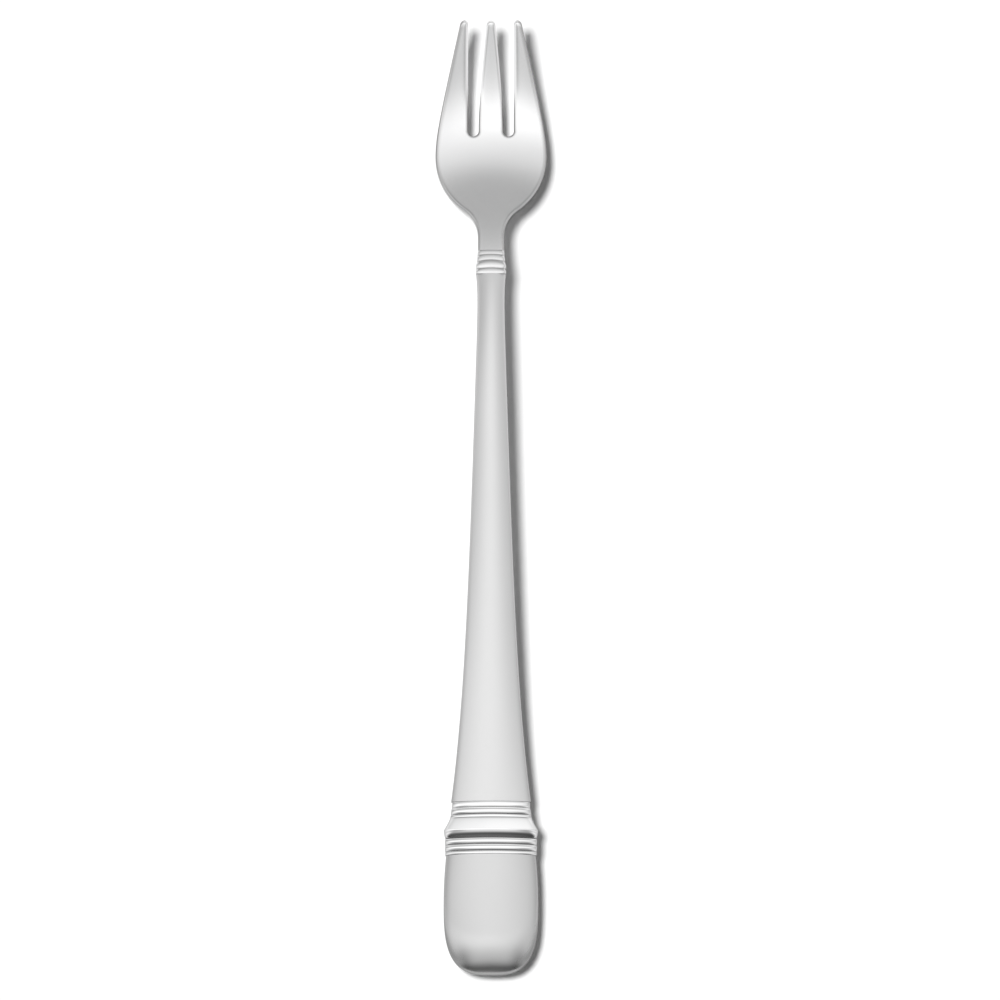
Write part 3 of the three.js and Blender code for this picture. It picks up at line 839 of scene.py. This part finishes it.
def add_mix(tree, kind, share, first, second):
    """A mix of two FLOAT or RGBA values: the first where the share is 0, and the second where it is 1."""
    mix = tree.nodes.new("ShaderNodeMix")
    mix.data_type = kind
    feed(tree, share, mix.inputs["Factor"])
    feed(tree, first, mix.inputs["A"])
    feed(tree, second, mix.inputs["B"])
    return mix.outputs["Result"]


def add_math(tree, operation, *values):
    """A Math node on sockets or numbers."""
    node = tree.nodes.new("ShaderNodeMath")
    node.operation = operation
    for socket, value in zip(node.inputs, values):
        feed(tree, value, socket)
    return node.outputs["Value"]


def add_edge(tree):
    """The edge attribute of the mesh."""
    edge = tree.nodes.new("ShaderNodeAttribute")
    edge.attribute_name = "edge"
    return edge.outputs["Fac"]


def add_bump(tree, height, depth):
    """A bump of that depth in metres."""
    bump = tree.nodes.new("ShaderNodeBump")
    bump.inputs["Distance"].default_value = depth
    tree.links.new(height, bump.inputs["Height"])
    return bump.outputs["Normal"]


def rim_shaded_steel(
    name, plain, cloudy, rim_shade, grazing, cloud_scale, grain_scale, roughness, rim_roughness, bump_depth
):
    """Bare steel: a clouded colour, shade painted on its edges, darker at grazing angles, and a grain in its
    gloss.
    """
    material, tree = start_material(name)
    shader = tree.nodes["Principled BSDF"]
    shader.inputs["Metallic"].default_value = 1
    shader.inputs["Specular Tint"].default_value = grazing
    edge = add_edge(tree)
    cloud = add_noise(tree, cloud_scale, CLOUD_DETAIL)
    grain = add_noise(tree, grain_scale, GRAIN_DETAIL)
    body = add_mix(tree, "RGBA", cloud, plain, cloudy)
    gloss = add_range(tree, grain, *roughness)
    # The colour darkens to painted shade where the edge attribute is 1
    tree.links.new(add_mix(tree, "RGBA", edge, body, rim_shade), shader.inputs["Base Color"])
    tree.links.new(add_mix(tree, "FLOAT", edge, gloss, rim_roughness), shader.inputs["Roughness"])
    tree.links.new(add_bump(tree, grain, bump_depth), shader.inputs["Normal"])
    return material


def polished_steel():
    """Steel polished to a soft gloss, with fine wiping marks in every direction."""
    return rim_shaded_steel(
        "polished_steel",
        plain=grey(0.8),
        cloudy=grey(0.77, blue=0.005),
        # The painted shade on the head's rims
        rim_shade=grey(0.38),
        grazing=grey(0.7),
        cloud_scale=(220, 220, 220),
        grain_scale=(3500, 2600, 3500),
        roughness=(0.17, 0.25),
        rim_roughness=0.16,
        bump_depth=0.4e-6,
    )


def mirror_steel():
    """Steel polished to a mirror, a little dull in its grooves, with shade painted in its grooves and on its
    rims.
    """
    return rim_shaded_steel(
        "mirror_steel",
        plain=grey(0.88),
        cloudy=grey(0.85, blue=0.005),
        rim_shade=grey(0.15),
        grazing=grey(0.75),
        cloud_scale=(400, 400, 400),
        grain_scale=(3000, 5000, 3000),
        roughness=(0.05, 0.09),
        rim_roughness=0.2,
        bump_depth=0.2e-6,
    )


def soft_mirror_steel():
    """Steel buffed to a softer mirror than that of the collar."""
    return rim_shaded_steel(
        "soft_mirror_steel",
        plain=grey(0.72),
        cloudy=grey(0.69, blue=0.005),
        # The painted shade on the ring's rims and in its grooves
        rim_shade=grey(0.3),
        grazing=grey(0.7),
        cloud_scale=(400, 400, 400),
        grain_scale=(3000, 5000, 3000),
        roughness=(0.17, 0.23),
        rim_roughness=0.22,
        bump_depth=0.3e-6,
    )


def satin_steel(name, plain, cloudy):
    """Steel brushed along its length to a satin, with shade painted along its edges."""
    return rim_shaded_steel(
        name,
        plain=plain,
        cloudy=cloudy,
        rim_shade=grey(0.28),
        grazing=grey(0.75),
        cloud_scale=(150, 60, 150),
        grain_scale=(5000, 1200, 5000),
        roughness=(0.26, 0.33),
        rim_roughness=0.26,
        bump_depth=1.2e-6,
    )


def handle_satin():
    """The handle's satin."""
    return satin_steel("satin_steel", plain=grey(0.67), cloudy=grey(0.645))


def cap_satin():
    """The cap's satin, a little darker than the handle's."""
    return satin_steel("cap_satin_steel", plain=grey(0.62), cloudy=grey(0.595))


def cement():
    """Dull resin cement with grains of filler."""
    material, tree = start_material("cement")
    shader = tree.nodes["Principled BSDF"]
    dark = (0.28, 0.25, 0.21, 1)
    light = (0.44, 0.4, 0.35, 1)
    grain = add_noise(tree, (2500, 2500, 2500), CEMENT_DETAIL)
    tree.links.new(add_mix(tree, "RGBA", grain, dark, light), shader.inputs["Base Color"])
    tree.links.new(add_range(tree, grain, 0.8, 0.95), shader.inputs["Roughness"])
    tree.links.new(add_bump(tree, grain, 20e-6), shader.inputs["Normal"])
    return material


def add_ramp(tree, place, stops):
    """A value by a place from -1 to 1, smoothly along (place, value) stops. Its colours go up to 1."""
    peak = max(value for _, value in stops)
    ramp = tree.nodes.new("ShaderNodeValToRGB")
    ramp.color_ramp.interpolation = "CARDINAL"
    while len(ramp.color_ramp.elements) < len(stops):
        ramp.color_ramp.elements.new(1)
    for element, (stop, value) in zip(ramp.color_ramp.elements, stops):
        element.position = (stop + 1) / 2
        element.color = grey(value / peak)
    tree.links.new(add_math(tree, "MULTIPLY_ADD", place, 0.5, 0.5), ramp.inputs["Fac"])
    return add_math(tree, "MULTIPLY", ramp.outputs["Color"], peak)


# Brightness of the studio by how far a direction leans towards the tines
SKY_STOPS = [
    (-1, 0.3),
    (-0.95, 0.2),
    (-0.87, 0.11),
    (-0.79, 0.11),
    (-0.7, 0.22),
    (-0.58, 0.52),
    (-0.45, 0.75),
    (-0.34, 0.78),
    (-0.25, 0.86),
    (-0.16, 1.06),
    (-0.06, 1.4),
    (0.04, 1.48),
    (0.14, 1.3),
    (0.24, 1.12),
    (0.34, 1),
    (0.42, 0.88),
    (0.48, 0.72),
    (0.54, 0.52),
    (0.6, 0.42),
    (0.66, 0.5),
    (0.74, 1),
    (1, 1.2),
]

# The share of it that is left by how far the direction leans to either side, and the same where strip
# lights hang low at the sides, past two dark gaps, and where along the fork these are
SIDE_STOPS = [
    (0, 1),
    (0.2, 0.98),
    (0.5, 0.88),
    (0.7, 0.76),
    (0.9, 0.62),
    (1, 0.56),
]
STRIP_STOPS = [
    (0, 1),
    (0.28, 1),
    (0.38, 0.88),
    (0.5, 0.6),
    (0.62, 0.62),
    (0.74, 0.96),
    (0.88, 1.2),
    (1, 1.15),
]
STRIP_REACH = [
    (-1, 0),
    (-0.7, 0),
    (-0.52, 0.5),
    (-0.36, 1),
    (-0.2, 1),
    (-0.06, 0),
    (1, 0),
]

# The middle of the sky slants to the right from overhead to the tines: how steeply, where it crosses the
# fork's axis, and how far to the right it goes
SIDE_SLANT = 1.5
SIDE_PIVOT = 0.15
SIDE_SLANT_LIMIT = 0.12

# Lights far to the left and right, over the handle's end and over the tines: their brightness by how far
# a direction leans to either side, and their share by how far it leans towards the tines
FAR_LIGHT_STOPS = [
    (0, 0),
    (0.58, 0),
    (0.7, 0.55),
    (0.84, 0.75),
    (1, 0.75),
]
FAR_LIGHT_REACH = [
    (-1, 1),
    (-0.55, 1),
    (-0.42, 0),
    (0.4, 0),
    (0.52, 1),
    (1, 1),
]


def studio_glow(tree):
    """The brightness of the studio in every direction."""
    place = tree.nodes.new("ShaderNodeTexCoord")
    lean = tree.nodes.new("ShaderNodeSeparateXYZ")
    tree.links.new(place.outputs["Generated"], lean.inputs["Vector"])
    to_right = lean.outputs["X"]
    to_tines = lean.outputs["Y"]
    sideways = add_math(tree, "ABSOLUTE", to_right)
    slanted = add_range(tree, to_tines, -SIDE_SLANT * SIDE_PIVOT, SIDE_SLANT * (1 - SIDE_PIVOT))
    middle = add_math(tree, "MINIMUM", slanted, SIDE_SLANT_LIMIT)
    aside = add_math(tree, "ABSOLUTE", add_math(tree, "SUBTRACT", to_right, middle))
    plain_sides = add_ramp(tree, aside, SIDE_STOPS)
    strip_sides = add_ramp(tree, sideways, STRIP_STOPS)
    left = add_mix(tree, "FLOAT", add_ramp(tree, to_tines, STRIP_REACH), plain_sides, strip_sides)
    near = add_math(tree, "MULTIPLY", add_ramp(tree, to_tines, SKY_STOPS), left)
    far = add_ramp(tree, sideways, FAR_LIGHT_STOPS)
    return add_math(tree, "MULTIPLY_ADD", far, add_ramp(tree, to_tines, FAR_LIGHT_REACH), near)


def studio_world():
    """A soft studio that the metal mirrors. The camera sees white, and little of it falls on the floor."""
    world = bpy.data.worlds.new("studio")
    bpy.context.scene.world = world
    world.cycles.sampling_method = "NONE"
    world.use_nodes = True
    tree = world.node_tree
    background = tree.nodes["Background"]
    ray = tree.nodes.new("ShaderNodeLightPath")
    from_camera = ray.outputs["Is Camera Ray"]
    seen = add_mix(tree, "RGBA", from_camera, studio_glow(tree), grey(1))
    tree.links.new(seen, background.inputs["Color"])
    straight = add_math(tree, "ADD", from_camera, ray.outputs["Is Transmission Ray"])
    shown = add_math(tree, "ADD", straight, ray.outputs["Is Glossy Ray"])
    tree.links.new(add_range(tree, shown, WORLD_ON_FLOOR, 1), background.inputs["Strength"])


def floor_material():
    """White paper with a faint glow, which can be looked through from below."""
    material, tree = start_material("floor")
    tree.nodes.remove(tree.nodes["Principled BSDF"])
    paper = tree.nodes.new("ShaderNodeBsdfDiffuse")
    paper.inputs["Color"].default_value = grey(FLOOR_COLOUR)
    glow = tree.nodes.new("ShaderNodeEmission")
    glow.inputs["Strength"].default_value = FLOOR_GLOW
    lit = tree.nodes.new("ShaderNodeAddShader")
    tree.links.new(paper.outputs["BSDF"], lit.inputs[0])
    tree.links.new(glow.outputs["Emission"], lit.inputs[1])
    clear = tree.nodes.new("ShaderNodeBsdfTransparent")
    side = tree.nodes.new("ShaderNodeNewGeometry")
    either = tree.nodes.new("ShaderNodeMixShader")
    tree.links.new(side.outputs["Backfacing"], either.inputs["Fac"])
    tree.links.new(lit.outputs["Shader"], either.inputs[1])
    tree.links.new(clear.outputs["BSDF"], either.inputs[2])
    tree.links.new(either.outputs["Shader"], tree.nodes["Material Output"].inputs["Surface"])
    return material


def white_floor():
    """A plain white floor that takes the fork's shadow."""
    half = FLOOR_SIDE / 2
    corners = [(-half, -half), (half, -half), (half, half), (-half, half)]
    mesh = bpy.data.meshes.new("floor")
    mesh.from_pydata([(x, y, -GROUND_DEPTH) for x, y in corners], [], [(0, 1, 2, 3)])
    mesh.materials.append(floor_material())
    floor = bpy.data.objects.new("floor", mesh)
    bpy.context.scene.collection.objects.link(floor)


def key_light():
    """The light that throws the shadow. The metal doesn't mirror it, but only the studio's soft sky."""
    sun = bpy.data.lights.new("key", "SUN")
    sun.energy = KEY_STRENGTH
    sun.angle = KEY_SPREAD
    key = bpy.data.objects.new("key", sun)
    key.rotation_mode = "QUATERNION"
    key.rotation_quaternion = KEY_FROM.to_track_quat("Z", "Y")
    key.visible_glossy = False
    bpy.context.scene.collection.objects.link(key)


def add_camera():
    """A far camera that looks down on the fork from a little behind its handle's end."""
    lens = bpy.data.cameras.new("camera")
    lens.lens = LENS
    lens.sensor_width = SENSOR
    camera = bpy.data.objects.new("camera", lens)
    away = IMAGE_SIDE * PIXEL * LENS / SENSOR
    camera.location = LOOK_AT + Vector((0, -math.sin(CAMERA_TILT), math.cos(CAMERA_TILT))) * away
    camera.rotation_euler = (CAMERA_TILT, 0, 0)
    bpy.context.scene.collection.objects.link(camera)
    bpy.context.scene.camera = camera


def add_fork():
    """All the pieces of the fork, and the cement, which keeps its CAD solid."""
    satin = handle_satin()
    add_piece("tined_head", *fork_head(), polished_steel(), "polished_steel", "fork_head")
    add_piece("beaded_ring", *neck_ring(), soft_mirror_steel(), "mirror_steel", "neck_ring")
    add_piece("front_half", *handle_shell(0), satin, "satin_steel", "handle_front_shell")
    add_piece("back_half", *handle_shell(math.pi), satin, "satin_steel", "handle_back_shell")
    add_piece("stepped_collar", *collar_ring(), mirror_steel(), "mirror_steel", "collar_ring")
    add_piece("rounded_cap", *end_cap(), cap_satin(), "satin_steel", "end_cap")
    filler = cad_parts["handle_filler"]
    filler.data.materials.clear()
    filler.data.materials.append(cement())


bpy.context.scene.view_settings.view_transform = "Standard"
add_fork()
white_floor()
studio_world()
key_light()
add_camera()
